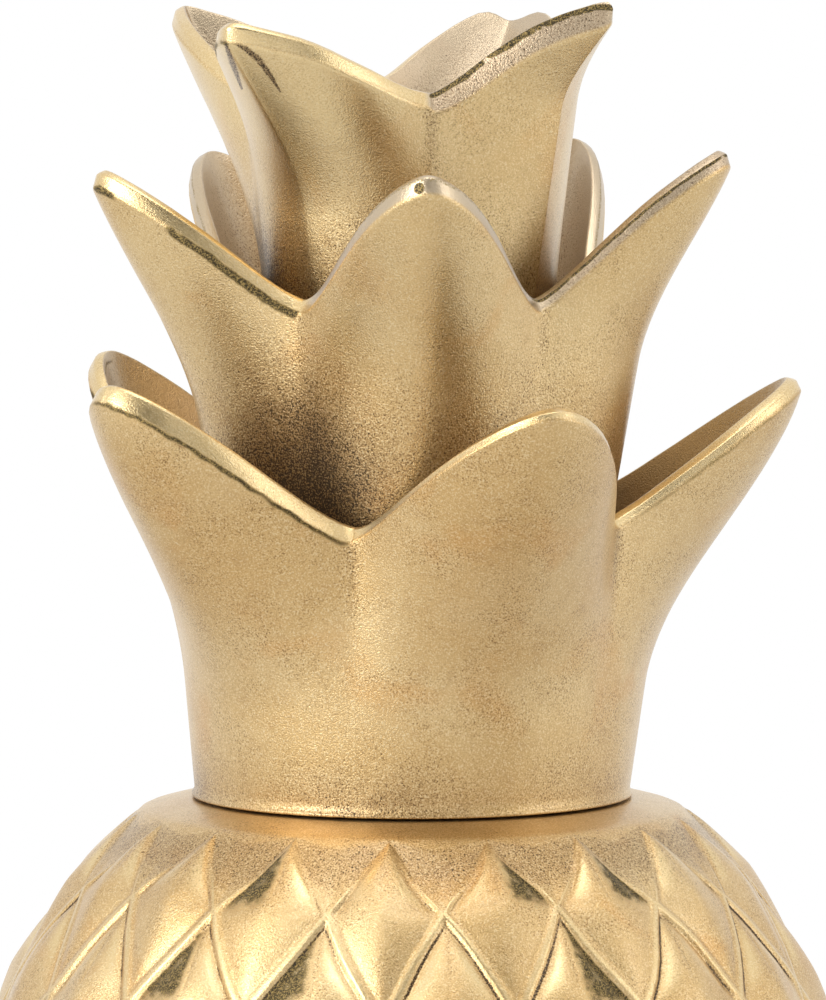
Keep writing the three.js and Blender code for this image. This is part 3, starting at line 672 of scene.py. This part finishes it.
def whorl_rows(whorl):
    """The courses of a whorl's skin, from its hole under the foot round to the hole above.
    Each is (rise from base to rim, base, drop below the rim, depth under the skin, ring radius,
    ring height, 1 for a plain ring)."""
    foot, lip = whorl["foot"], whorl["lip"]
    floor = foot + whorl["web"]
    start = foot + 2 * lip
    radius = whorl["foot radius"]
    floor_radius = radius + whorl["valley taper"] * whorl["web"] - whorl_wall
    rings = [(rod_hole, foot), (radius * 0.5, foot), (radius - 0.4 * mm, foot)]
    if lip:
        edge = [rings[-1], (radius + lip, foot), (radius + lip, foot + lip), (radius, start)]
        rings += softened(edge, 0.3 * mm)[1:-1]
    else:
        rings += [(radius - 0.1 * mm, foot + 0.1 * mm)]
    rows = [(0, 0, 0, 0, radius, height, 1) for radius, height in rings]
    rows += [(rise, start, 3 * mm, 0, 0, 0, 0) for rise in np.linspace(0.002, 1, outer_rows)]
    corner = [(0, 3 * mm), (0, bevel_width), (bevel_depth, 0), (whorl_wall, 0), (whorl_wall, 3 * mm)]
    rows += [(1, start, drop, depth, 0, 0, 0) for depth, drop in softened(corner, bevel_softness)[1:-1]]
    base = floor + inner_fillet
    rows += [(rise, base, 2 * mm, whorl_wall, 0, 0, 0) for rise in np.linspace(1, 0, inner_rows)]
    for turn in np.linspace(0, math.pi / 2, 6)[1:]:
        inset, fall = inner_fillet * (1 - math.cos(turn)), inner_fillet * math.sin(turn)
        rows += [(0, base - fall, 0, whorl_wall + inset, 0, 0, 0)]
    rings = (floor_radius - 3 * mm, floor_radius * 0.5, rod_hole)
    return rows + [(0, 0, 0, 0, radius, floor, 1) for radius in rings]


def whorl_net(name, whorl):
    """Every point of a whorl as attributes: its place on the leaf, and its course."""
    leaves = [(math.radians(turn), *rest) for turn, *rest in whorl["leaves"]]
    shares = (1 - np.cos(np.linspace(0, math.pi, half_leaf_columns + 1))) / 2
    columns, sides = [], []
    for leaf, following in zip(leaves, leaves[1:] + leaves[:1]):
        half_gap = (following[0] - leaf[0]) % full_turn / 2
        for owner, way in ((leaf, 1), (following, -1)):
            mine = shares if way > 0 else shares[::-1][1:-1]
            for share in mine:
                turn = owner[0] + way * share * half_gap
                columns.append((turn, way * share, half_gap, *owner[1:6]))
                sides.append([pair[way > 0] for pair in owner[6:8]])
    columns, sides = np.array(columns), np.array(sides)
    for _ in range(whorl["bevel blend"]):
        sides = (np.roll(sides, 1, 0) + sides + np.roll(sides, -1, 0)) / 3
    courses = np.array(whorl_rows(whorl))
    turn, across, half_gap, tip, reach, flare, roundness, dip = np.tile(columns, (len(courses), 1)).T
    bevel, crust = np.tile(sides, (len(courses), 1)).T
    rise, base, drop, depth, radius, height, plain = np.repeat(courses, len(columns), 0).T
    edge = whorl_wall - bevel_depth * bevel
    top = bevel_depth * bevel + (depth - bevel_depth) * edge / (whorl_wall - bevel_depth)
    outside = depth <= bevel_depth
    drop = np.where(outside, drop * bevel, drop)
    depth = np.where(outside, depth * bevel, np.where(depth <= whorl_wall, top, depth))
    leaf = [tip * whorl["tip"], reach * whorl["reach"], flare * whorl["flare start"]]
    attributes = {"azimuth": turn, "across": across, "leaf": np.stack(leaf, 1)}
    attributes["blade"] = np.stack([half_gap, roundness, dip * mm], 1)
    attributes["course"] = np.stack([rise, base, drop], 1)
    attributes |= {"depth": depth, "off_keel": np.abs(across), "bevel": bevel, "crust": crust}
    attributes["ring"] = np.stack([radius, height, plain], 1)
    faces = lattice(len(courses), len(columns), wrap_rows=True)
    return new_object(name, np.zeros((len(turn), 3)), faces, attributes)


def whorl_tree():
    sizes = ("Foot", "Foot radius", "Notch", "Flare end", "Valley taper", "Keel taper", "Keel power")
    sizes += ("Keel round", "Land", "Waver", "Seed")
    kinds = {"Geometry": "Geometry"} | {name: "Float" for name in sizes}
    graph, given = start_tree("leaf whorl", kinds | {"Material": "Material"})

    def named_three(name):
        return graph.parts(named(graph, name, "FLOAT_VECTOR"))

    def blend(share, first, second):
        return first + (second - first) * share

    azimuth, across, depth = (named(graph, name) for name in ("azimuth", "across", "depth"))
    tip, reach, flare_start = named_three("leaf")
    half_gap, roundness, dip = named_three("blade")
    rise, base, drop = named_three("course")
    ring_radius, ring_height, plain = named_three("ring")
    step, wide_step = 0.001, 0.1  # turns to either side, in radians

    def aside(shift):
        """How far off the keel, 0 to 1 in the valley, at a small turn away from this point."""
        return 1 - abs(1 - abs(across + shift / half_gap))

    def softly(share, soft):
        """0 to 1 as the share goes there, but with a rounded start."""
        square = soft * soft
        return ((share * share + square) ** 0.5 - soft) / ((square + 1) ** 0.5 - soft)

    def rim(shift):
        off = 1 - softly(1 - aside(shift), notch_round)
        roll = 0.5 - 0.5 * (off * math.pi).cosine()
        hook = softly(off, tip_round)
        return blend((roll + hook) * 0.5, tip, given["Notch"]) - dip * off.eased(dip_share, 0.0)

    def keel_radius(level):
        def straight(at):
            return given["Foot radius"] + given["Keel taper"] * (at - given["Foot"])

        def flare(at):
            return ((at - flare_start) / (given["Flare end"] - flare_start)).eased(0, 1)

        return straight(level) + (reach - straight(tip)) / flare(tip) * flare(level)

    def on_skin(shift, level):
        off = aside(shift)
        keel = keel_radius(level)
        valley = given["Foot radius"] + given["Valley taper"] * (level - given["Foot"])
        flat = (off * half_gap).sine() * keel + ((1 - off) * half_gap).sine() * valley
        flat = keel * valley * half_gap.sine() / flat
        # The valley between two leaves is a soft fold, and so is the keel.
        fold = softly(1 - softly(off, given["Keel round"]), valley_soft)
        radius = blend(roundness, flat, blend((1 - fold) ** given["Keel power"], keel, valley))
        return about_axis(graph, azimuth + shift, radius, level + given["Land"])

    beside = (on_skin(way * step, given["Notch"]) for way in (1, -1))
    run = graph.vector("DISTANCE", *beside, output=1)
    stretch = (((rim(step) - rim(-step)) / run) ** 2 + 1) ** 0.5
    ragged = graph.whole(azimuth.sine() * 5.0, azimuth.cosine() * 5.0, given["Seed"])
    ragged = graph.noise(ragged, 1 / 1.3)
    edge = rim(0.0) + (ragged - 0.5) * given["Waver"] * 1.6
    level = blend(rise, base, edge - drop * stretch)
    here = on_skin(0.0, level)
    # The wide step keeps the wall's inner face from crossing itself behind a crisp keel.
    sideways = graph.vector("SUBTRACT", on_skin(wide_step, level), on_skin(-wide_step, level))
    above, below = (on_skin(0.0, level + way * 0.2 * mm) for way in (1, -1))
    upwards = graph.vector("SUBTRACT", above, below)
    normal = graph.vector("NORMALIZE", graph.vector("CROSS_PRODUCT", sideways, upwards))
    lumps = graph.noise(here, 16 * mm, 2.0, 0.4)
    out = (lumps - 0.5) * given["Waver"] * rise.eased(0.0, 0.3) - depth
    scaled = graph.add("ShaderNodeVectorMath", {"operation": "SCALE"}, {0: normal, 3: out})
    wall = graph.vector("ADD", here, scaled)
    ring = about_axis(graph, azimuth, ring_radius, ring_height + given["Land"])
    spot = graph.add("ShaderNodeMix", {"data_type": "VECTOR"}, {0: plain, 4: wall, 5: ring}, 1)
    skin = graph.add("GeometryNodeSetPosition", {}, {"Geometry": given["Geometry"], "Position": spot})
    values = {"Geometry": skin, "Name": "under_rim", "Value": (edge - level) / stretch}
    marked = graph.add("GeometryNodeStoreNamedAttribute", {"data_type": "FLOAT"}, values)
    return end_tree(graph, marked, given["Material"])


def crease(graph, place, points):
    """The dark line of patina and painted shade along a fold in the front of the casting, through these
    (x, z, half width), in mm.
    """
    x, y, z = in_mm(graph, place)
    front = y.eased(-5, -10)
    dark = front * 0.0
    for (x0, z0, width), (x1, z1, end_width) in zip(points, points[1:]):
        run, climb = x1 - x0, z1 - z0
        share = ((x - x0) * run + (z - z0) * climb) / (run**2 + climb**2)
        share = share.smaller(1.0).larger(0.0)
        off = ((x - x0 - share * run) ** 2 + (z - z0 - share * climb) ** 2) ** 0.5
        dark = dark.larger((off / (width + share * (end_width - width))).eased(1.0, 0.3))
    return dark * front


def leaf_patina_and_shade(dark_from, dark_to, strength, creases=()):
    """Patina and painted shade low on the cups, most of all in the valleys and to the left, down
    their inner walls, and in the creases; plain patina on the bevels that kept most of their skin."""

    def mask(graph, place):
        x, _, height = in_mm(graph, place)
        depth, under = (attribute(graph, name) / mm for name in ("depth", "under_rim"))
        valley = attribute(graph, "off_keel")
        uneven = graph.noise(place, 9 * mm, 3.0, 0.6)
        # Patina and painted shade low on the cup, under the rim of the whorl outside it.
        low = (height + (uneven - 0.5) * 14).eased(dark_to, dark_from)
        low = low * (0.45 + 0.55 * valley.eased(0.1, 0.9))
        low = low * (0.55 + 0.45 * x.eased(30, -15)) * strength
        inside = 0.25 * under.eased(0, 6) + 0.3 * under.eased(6, 26)
        inside = depth.eased(1.8, 2.7) * inside
        outside = depth.eased(0.4, 0)
        line = valley.eased(0.88, 1.0) * under.eased(24, 3) * outside * 0.42
        for points in creases:
            line = line.larger(crease(graph, place, points) * outside * 0.8)
        dull = attribute(graph, "crust").eased(-0.5, -1.2) * depth.eased(0, 0.4)
        dull = dull * depth.eased(2.7, 2.5) * 0.38
        return low.larger(inside).larger(line).larger(dull)

    return mask


def bevel_polish_and_highlight(graph, place):
    """The bevels were filed, and carry a painted highlight. The outside is also brighter higher up, most
    of all to the left between 274 and 284 mm.
    """
    depth = attribute(graph, "depth") / mm
    plain = attribute(graph, "crust").eased(-0.1, -0.9)
    bevel = depth.eased(0.05, 0.5) * depth.eased(2.78, 2.5) * (0.75 - 1.1 * plain)
    x, _, height = in_mm(graph, place)
    # Brighter higher up on the outside, most of all to the left near the top.
    brighter_up = 0.4 * height.eased(225, 285) + 0.35 * height.eased(274, 284) * x.eased(2, -8)
    return bevel.larger(brighter_up * depth.eased(0.4, 0))


def painted_pale_reflection(graph, place):
    """Painted reflection of the pale surroundings: the inside of a leaf is a little greyer, and so are
    the bevels whose skin share is below zero.
    """
    depth = attribute(graph, "depth") / mm
    bevel = depth.eased(0.05, 0.5) * attribute(graph, "crust").eased(0, -0.3)
    return depth.eased(2.5, 2.8).larger(bevel)


def bare_skin(graph, place):
    """Black skin on the leaf sides that kept it, along the foot of the bevel where the side's
    share is above zero and along its top where it is below."""
    crust, bevel = attribute(graph, "crust"), attribute(graph, "bevel")
    wander = graph.noise(place, 3 * mm, 3.0) - 0.5
    length = graph.noise(place, 11 * mm, 2.0).eased(0.32, 0.5)
    below = (attribute(graph, "under_rim") - bevel * bevel_width) / mm + wander
    band = below.eased(-0.6, 0.1) * (below - crust * 1.3).eased(0.4, -0.6)
    foot = band * crust.eased(0.05, 0.3) * length
    share = attribute(graph, "depth") / (bevel * bevel_depth) + wander * 0.25
    top = share.eased(0.72, 0.86) * share.eased(1.12, 1.02) * crust.eased(-0.1, -0.6)
    black = foot.larger(top * (wander + 0.5).eased(0.3, 0.42))
    for x, y, z, size in blowholes:
        spot = (x * mm, y * mm, z * mm)
        away = graph.vector("DISTANCE", place, spot, output=1)
        black = black.larger((away / mm + wander).eased(size, size * 0.6))
    return black


# Small holes that gas left in the castings near their rims: place and radius, in mm.
blowholes = [(0.96, -47.4, 274, 1.1), (-3.9, -46.9, 272.8, 0.6)]
# Shares of half a leaf's width: the rounding of its tip and of a notch, the dip at the tip, and
# the softness of the fold between two leaves.
tip_round, notch_round, dip_share, valley_soft = 0.2, 0.03, 0.24, 0.12
lower_whorl = {
    "foot": seat_gap, "foot radius": 32.6 * mm, "lip": 0.5 * mm, "web": 4 * mm,
    "notch": 43.2 * mm, "tip": 62.8 * mm, "reach": 58 * mm, "flare start": 15 * mm,
    "flare end": 64 * mm, "valley taper": 0.084, "keel taper": 0.15, "keel power": 1.35,
    "keel round": 0.04, "bevel blend": 40,
    # Each leaf: azimuth, then its tip, reach and flare start as shares, roundness and dip,
    # and for its left and right side how wide its bevel is and how much black skin it kept.
    "leaves": [
        (-122, 1.029, 0.983, 1, 1, 0, (0.8, 0.8), (0, 0.3)),
        (-50, 1.022, 1.03, 1, 1, 0, (0.9, 1.35), (0.2, 0.28)),
        (22, 0.984, 1, 1, 1, 0, (0.45, 0.6), (0, 0)),
        (94, 0.99, 1.017, 1.17, 1, 0, (0.6, 0.8), (0.2, 0)),
        (166, 1, 1, 1, 1, 0, (0.8, 0.8), (0, 0.4)),
    ],
}


def nested(outer, gap):
    """The foot of a whorl that stands in this outer one, with a gap round it."""
    foot = outer["notch"] - tuck
    valley = outer["foot radius"] + outer["valley taper"] * (foot - outer["foot"])
    return {"foot": foot, "foot radius": valley - whorl_wall - gap, "lip": 0, "web": 3.2 * mm}


middle_whorl = nested(lower_whorl, 4.2 * mm) | {
    "notch": 76.2 * mm, "tip": 95 * mm, "reach": 49.5 * mm, "flare start": 62 * mm,
    "flare end": 102 * mm, "valley taper": 0.063, "keel taper": 0.19, "keel power": 1.1,
    "keel round": 0.12, "bevel blend": 12,
    "leaves": [
        (-141, 0.99, 1.03, 0.97, 1, 0, (0.7, 0.7), (-0.3, -0.3)),
        (-69, 0.99, 1.03, 0.9, 1, 0, (0.8, 0.9), (0, 0.7)),
        (3, 0.998, 0.98, 1, 1, 0, (1, 1), (-0.3, -0.3)),
        (75, 1.019, 1, 1.065, 1, 0, (0.7, 0.8), (-1, 0)),
        (147, 1.013, 0.97, 1, 1, 0, (0.8, 0.7), (-0.3, -0.3)),
    ],
}
top_whorl = nested(middle_whorl, 6.5 * mm) | {
    "notch": 106.4 * mm, "tip": 117 * mm, "reach": 43 * mm, "flare start": 92 * mm,
    "flare end": 126 * mm, "valley taper": 0.1, "keel taper": 0.18, "keel power": 1.05,
    "keel round": 0.02, "bevel blend": 12,
    "leaves": [
        (-128, 0.997, 1.075, 0.81, 1, 0, (0.7, 0.7), (0, 0)),
        (-38.5, 0.991, 1.03, 0.96, 1, 0, (0.7, 0.95), (0.3, 0.12)),
        (52, 1.012, 0.9, 1.13, 0.5, 0, (1.45, 0.7), (-1.5, 0)),
        (158, 0.995, 1.04, 1, 1, 3, (0.8, 0.7), (0, 0)),
    ],
}

leaf_whorl = whorl_tree()
# The wax of one leaf was folded at its tip, and the casting kept the folds; their dark lines are patina
# and painted shade.
long_fold = [(-27.6, 295.2, 0.2), (-25.9, 294.6, 0.5), (-24.2, 293.6, 0.7), (-22.3, 291.9, 0.8)]
long_fold += [(-20.7, 289.6, 0.6), (-19.3, 287.2, 0.2)]
short_fold = [(-27.4, 294.8, 0.3), (-26.3, 291.5, 0.8), (-25.0, 287.5, 0.3)]
# The patina and painted shade fade out between the first two heights. The third number is their strength
# below.
dark_bands = {"lower_whorl": (180, 195, 0.55), "middle_whorl": (226, 260, 1.05)}
dark_bands["top_whorl"] = (257, 277, 1.05, (long_fold, short_fold))
for seed, (node, whorl) in enumerate(zip(dark_bands, (lower_whorl, middle_whorl, top_whorl))):
    cup = whorl_net(node.replace("_whorl", "_leaves"), whorl)
    masks = (leaf_patina_and_shade(*dark_bands[node]), bevel_polish_and_highlight, bare_skin, painted_pale_reflection)
    finish = brass_casting("cast brass, " + node, *masks)
    sizes = {name.capitalize(): value for name, value in whorl.items()}
    sizes |= {"Land": land_height, "Waver": 0.3 * mm, "Seed": 3.0 * seed, "Material": finish}
    shaped_by(cup, leaf_whorl, sizes)
    close_up(cup, 50)
    in_place(cup, "crown_lid", "cast_brass", node)


# Plug: a turned brass disc that locates the crown in the body's mouth. Its underside is recessed
# for the nut and the washer of the tie rod.

bottom = node_section("lid_plug")[1]
section = [(3.3, 4.5), (20, 4.5), (20, 0), (27.4, 0), (28.6, 1.2), (28.6, 7.5), (28.1, 8), (3.3, 8)]
section = softened([(r * mm, bottom + h * mm) for r, h in section], 0.25 * mm)
lid_plug = turned("turned_plug", section, bright_brass, 128, ring=True)
in_place(lid_plug, "crown_lid", "turned_brass", "lid_plug")


# Spacers and washers: brass tubes that hold the whorls at their heights, and steel washers under
# the two nuts.

def sleeve(name, node, corner, material, slot):
    radius, bottom, top = node_section(node)
    section = [(rod_hole, bottom), (radius - corner, bottom), (radius, bottom + corner)]
    section += [(radius, top - corner), (radius - corner, top), (rod_hole, top)]
    piece = turned(name, softened(section, corner * 0.4), material, 72, ring=True)
    in_place(piece, "crown_lid", slot, node)


sleeve("long_spacer", "lower_spacer", 0.5 * mm, bright_brass, "turned_brass")
sleeve("short_spacer", "upper_spacer", 0.5 * mm, bright_brass, "turned_brass")
sleeve("upper_washer", "top_washer", 0.15 * mm, bright_steel, "steel")
sleeve("lower_washer", "bottom_washer", 0.15 * mm, bright_steel, "steel")


# Tie rod: a steel rod with a rolled thread at each end, through the plug, the spacers and all
# three whorls.

thread_pitch, thread_depth = 1 * mm, 0.55 * mm
threaded_length = 12 * mm
radius, bottom, top = node_section("tie_rod")
step = thread_pitch / 8
heights = [*np.arange(bottom, bottom + threaded_length, step)]
heights += [*np.arange(top - threaded_length, top, step), top]
angles = np.arange(48) * full_turn / 48
rows = [circle(0, bottom, angles)]
for height in heights:
    from_end = min(height - bottom, top - height)
    winding = (height / thread_pitch - angles / full_turn) % 1
    cut = np.clip((threaded_length - from_end) / (2 * mm), 0, 1) * thread_depth
    point = np.clip((0.8 * mm - from_end) / mm, 0, 1) * 0.8 * mm
    r = radius - np.maximum(cut * np.clip(np.abs(2 * winding - 1) * 1.3 - 0.15, 0, 1), point)
    rows.append(circle(r, height, angles))
tie_rod = skinned("threaded_rod", [*rows, circle(0, top, angles)], bright_steel)
in_place(tie_rod, "crown_lid", "steel", "tie_rod")


# Nuts: a brass dome nut in the top cup and a plain steel nut under the plug. Their corners are
# turned off.

half_flats = 5 * mm


def nut(name, section, material, slot, node):
    """From a section of (radius, height) pairs, cut back to the hexagon's six sides."""
    angles = np.arange(144) * full_turn / 144
    side = half_flats / np.cos(angles % (full_turn / 6) - full_turn / 12)
    rows = []
    for radius, height in section:
        rows.append(circle(np.minimum(radius, side), height, angles))
    piece = skinned(name, rows, material, 28, ring=True)
    in_place(piece, "crown_lid", slot, node)


corners = half_flats / math.cos(full_turn / 12)
chamfer = [(corners - 0.77 * mm + step * 0.11 * mm, step * 0.055 * mm) for step in range(8)]
_, bottom, top = node_section("bottom_nut")
section = [(rod_hole, bottom)] + [(r, bottom + h) for r, h in chamfer]
section += [(r, top - h) for r, h in chamfer[::-1]] + [(rod_hole, top)]
nut("hexagon_nut", section, bright_steel, "steel", "bottom_nut")

_, bottom, top = node_section("top_nut")
hexagon_top = bottom + 5 * mm
dome_radius = 4.75 * mm
inside_top = hexagon_top + 2.3 * mm
section = [(0, inside_top), (rod_hole, inside_top), (rod_hole, bottom)]
section += [(r, bottom + h) for r, h in chamfer] + [(r, hexagon_top - h) for r, h in chamfer[::-1]]
for turn in np.linspace(0, math.pi / 2, 17):
    section.append((dome_radius * math.cos(turn), hexagon_top + (top - hexagon_top) * math.sin(turn)))
nut("dome_nut", section, bright_brass, "turned_brass", "top_nut")


# Studio: a pale floor under soft light from both sides and above, against plain white.

floor_level = -0.1 * mm  # just under the felt
square = ((-1, -1), (1, -1), (1, 1), (-1, 1))
floor = new_object("floor", [(x * 9, y * 9, floor_level) for x, y in square], [(0, 1, 2, 3)])
pale, graph, place = new_material("pale floor")


def straight_view(graph):
    """1 for what the camera sees, also in a reflection or through glass, and 0 for soft light."""
    rays = graph.add("ShaderNodeLightPath").socket.node.outputs
    kinds = (Wire(graph, rays[f"Is {kind} Ray"]) for kind in ("Camera", "Glossy", "Transmission"))
    return next(kinds).larger(next(kinds)).larger(next(kinds))


lit = graph.add("ShaderNodeBsdfDiffuse", {}, {"Color": srgb(225, 225, 225)})
glow = graph.add("ShaderNodeEmission", {}, {"Color": srgb(255, 255, 255)})
away = graph.vector("LENGTH", place, output=1)
share = straight_view(graph) * (0.54 + 0.46 * away.eased(0.2, 0.75))
surface = graph.add("ShaderNodeMixShader", {}, {0: share, 1: lit, 2: glow})
graph.add("ShaderNodeOutputMaterial", {}, {"Surface": surface})
floor.data.materials.append(pale)

# Two dark cards, to the right of the camera and above it, give the brass the dark parts of a room
# to reflect. The camera itself doesn't see them.
cloth, graph, place = new_material("dark card")
weave = graph.noise(place, 3 * mm)
shade = graph.mix(weave, srgb(22, 22, 24), srgb(34, 34, 36))
finish_surface(graph, shade, 0.0, 0.9, weave, 0.3 * mm)


def dark_card(name, spot, tilt, turn, width, height):
    corners = [(x * width / 2, 0, z * height / 2) for x, z in square]
    card = new_object(name, corners, [(0, 1, 2, 3)])
    card.location = spot
    card.rotation_euler = (math.radians(tilt), 0, math.radians(turn))
    card.data.materials.append(cloth)
    card.visible_camera = False


dark_card("dark card", (1.77, -1.15, 1), 0, 57, 1.4, 2)
dark_card("ceiling card", (0, -0.95, 1.08), -43, 0, 0.8, 0.85)

world = bpy.data.worlds.new("studio")
bpy.context.scene.world = world
world.use_nodes = True
graph = Graph(world.node_tree)
soft = graph.add("ShaderNodeBackground", {}, {"Color": srgb(235, 238, 242), "Strength": 0.6})
white = graph.add("ShaderNodeBackground", {}, {"Color": srgb(255, 255, 255)})
sky = graph.add("ShaderNodeMixShader", {}, {0: straight_view(graph), 1: soft, 2: white})
graph.add("ShaderNodeOutputWorld", {}, {"Surface": sky})


def aimed(name, data, spot, aim):
    stand = bpy.data.objects.new(name, data)
    stand.location = spot
    stand.rotation_euler = (aim - spot).to_track_quat("-Z", "Y").to_euler()
    bpy.context.scene.collection.objects.link(stand)
    return stand


def softbox(name, spot, width, height, power):
    lamp = bpy.data.lights.new(name, "AREA")
    lamp.shape, lamp.size, lamp.size_y, lamp.energy = "RECTANGLE", width, height, power
    aimed(name, lamp, Vector(spot), Vector((0, 0, 0.2))).visible_camera = False


softbox("left softbox", (-1.0, -0.85, 0.75), 0.7, 0.9, 13)
softbox("right softbox", (1.2, -0.4, 0.6), 0.6, 0.9, 4)
softbox("top softbox", (0.1, -0.2, 1.5), 0.8, 0.8, 5)

# The photograph's scale at the axis is 0.15 mm to a pixel, and its long side has 1000 of them.
pixel, long_side = 0.15 * mm, 1000
spot = Vector((pixel, -1485 * mm, land_height + 172 * mm))
aim = Vector((pixel, 0, land_height + 44.6 * mm))
lens = bpy.data.cameras.new("camera")
lens.sensor_width = 36
lens.lens = (aim - spot).length / pixel / long_side * lens.sensor_width
lens.clip_start, lens.clip_end = 0.05, 60
bpy.context.scene.camera = aimed("camera", lens, spot, aim)
bpy.context.scene.view_settings.view_transform = "Standard"
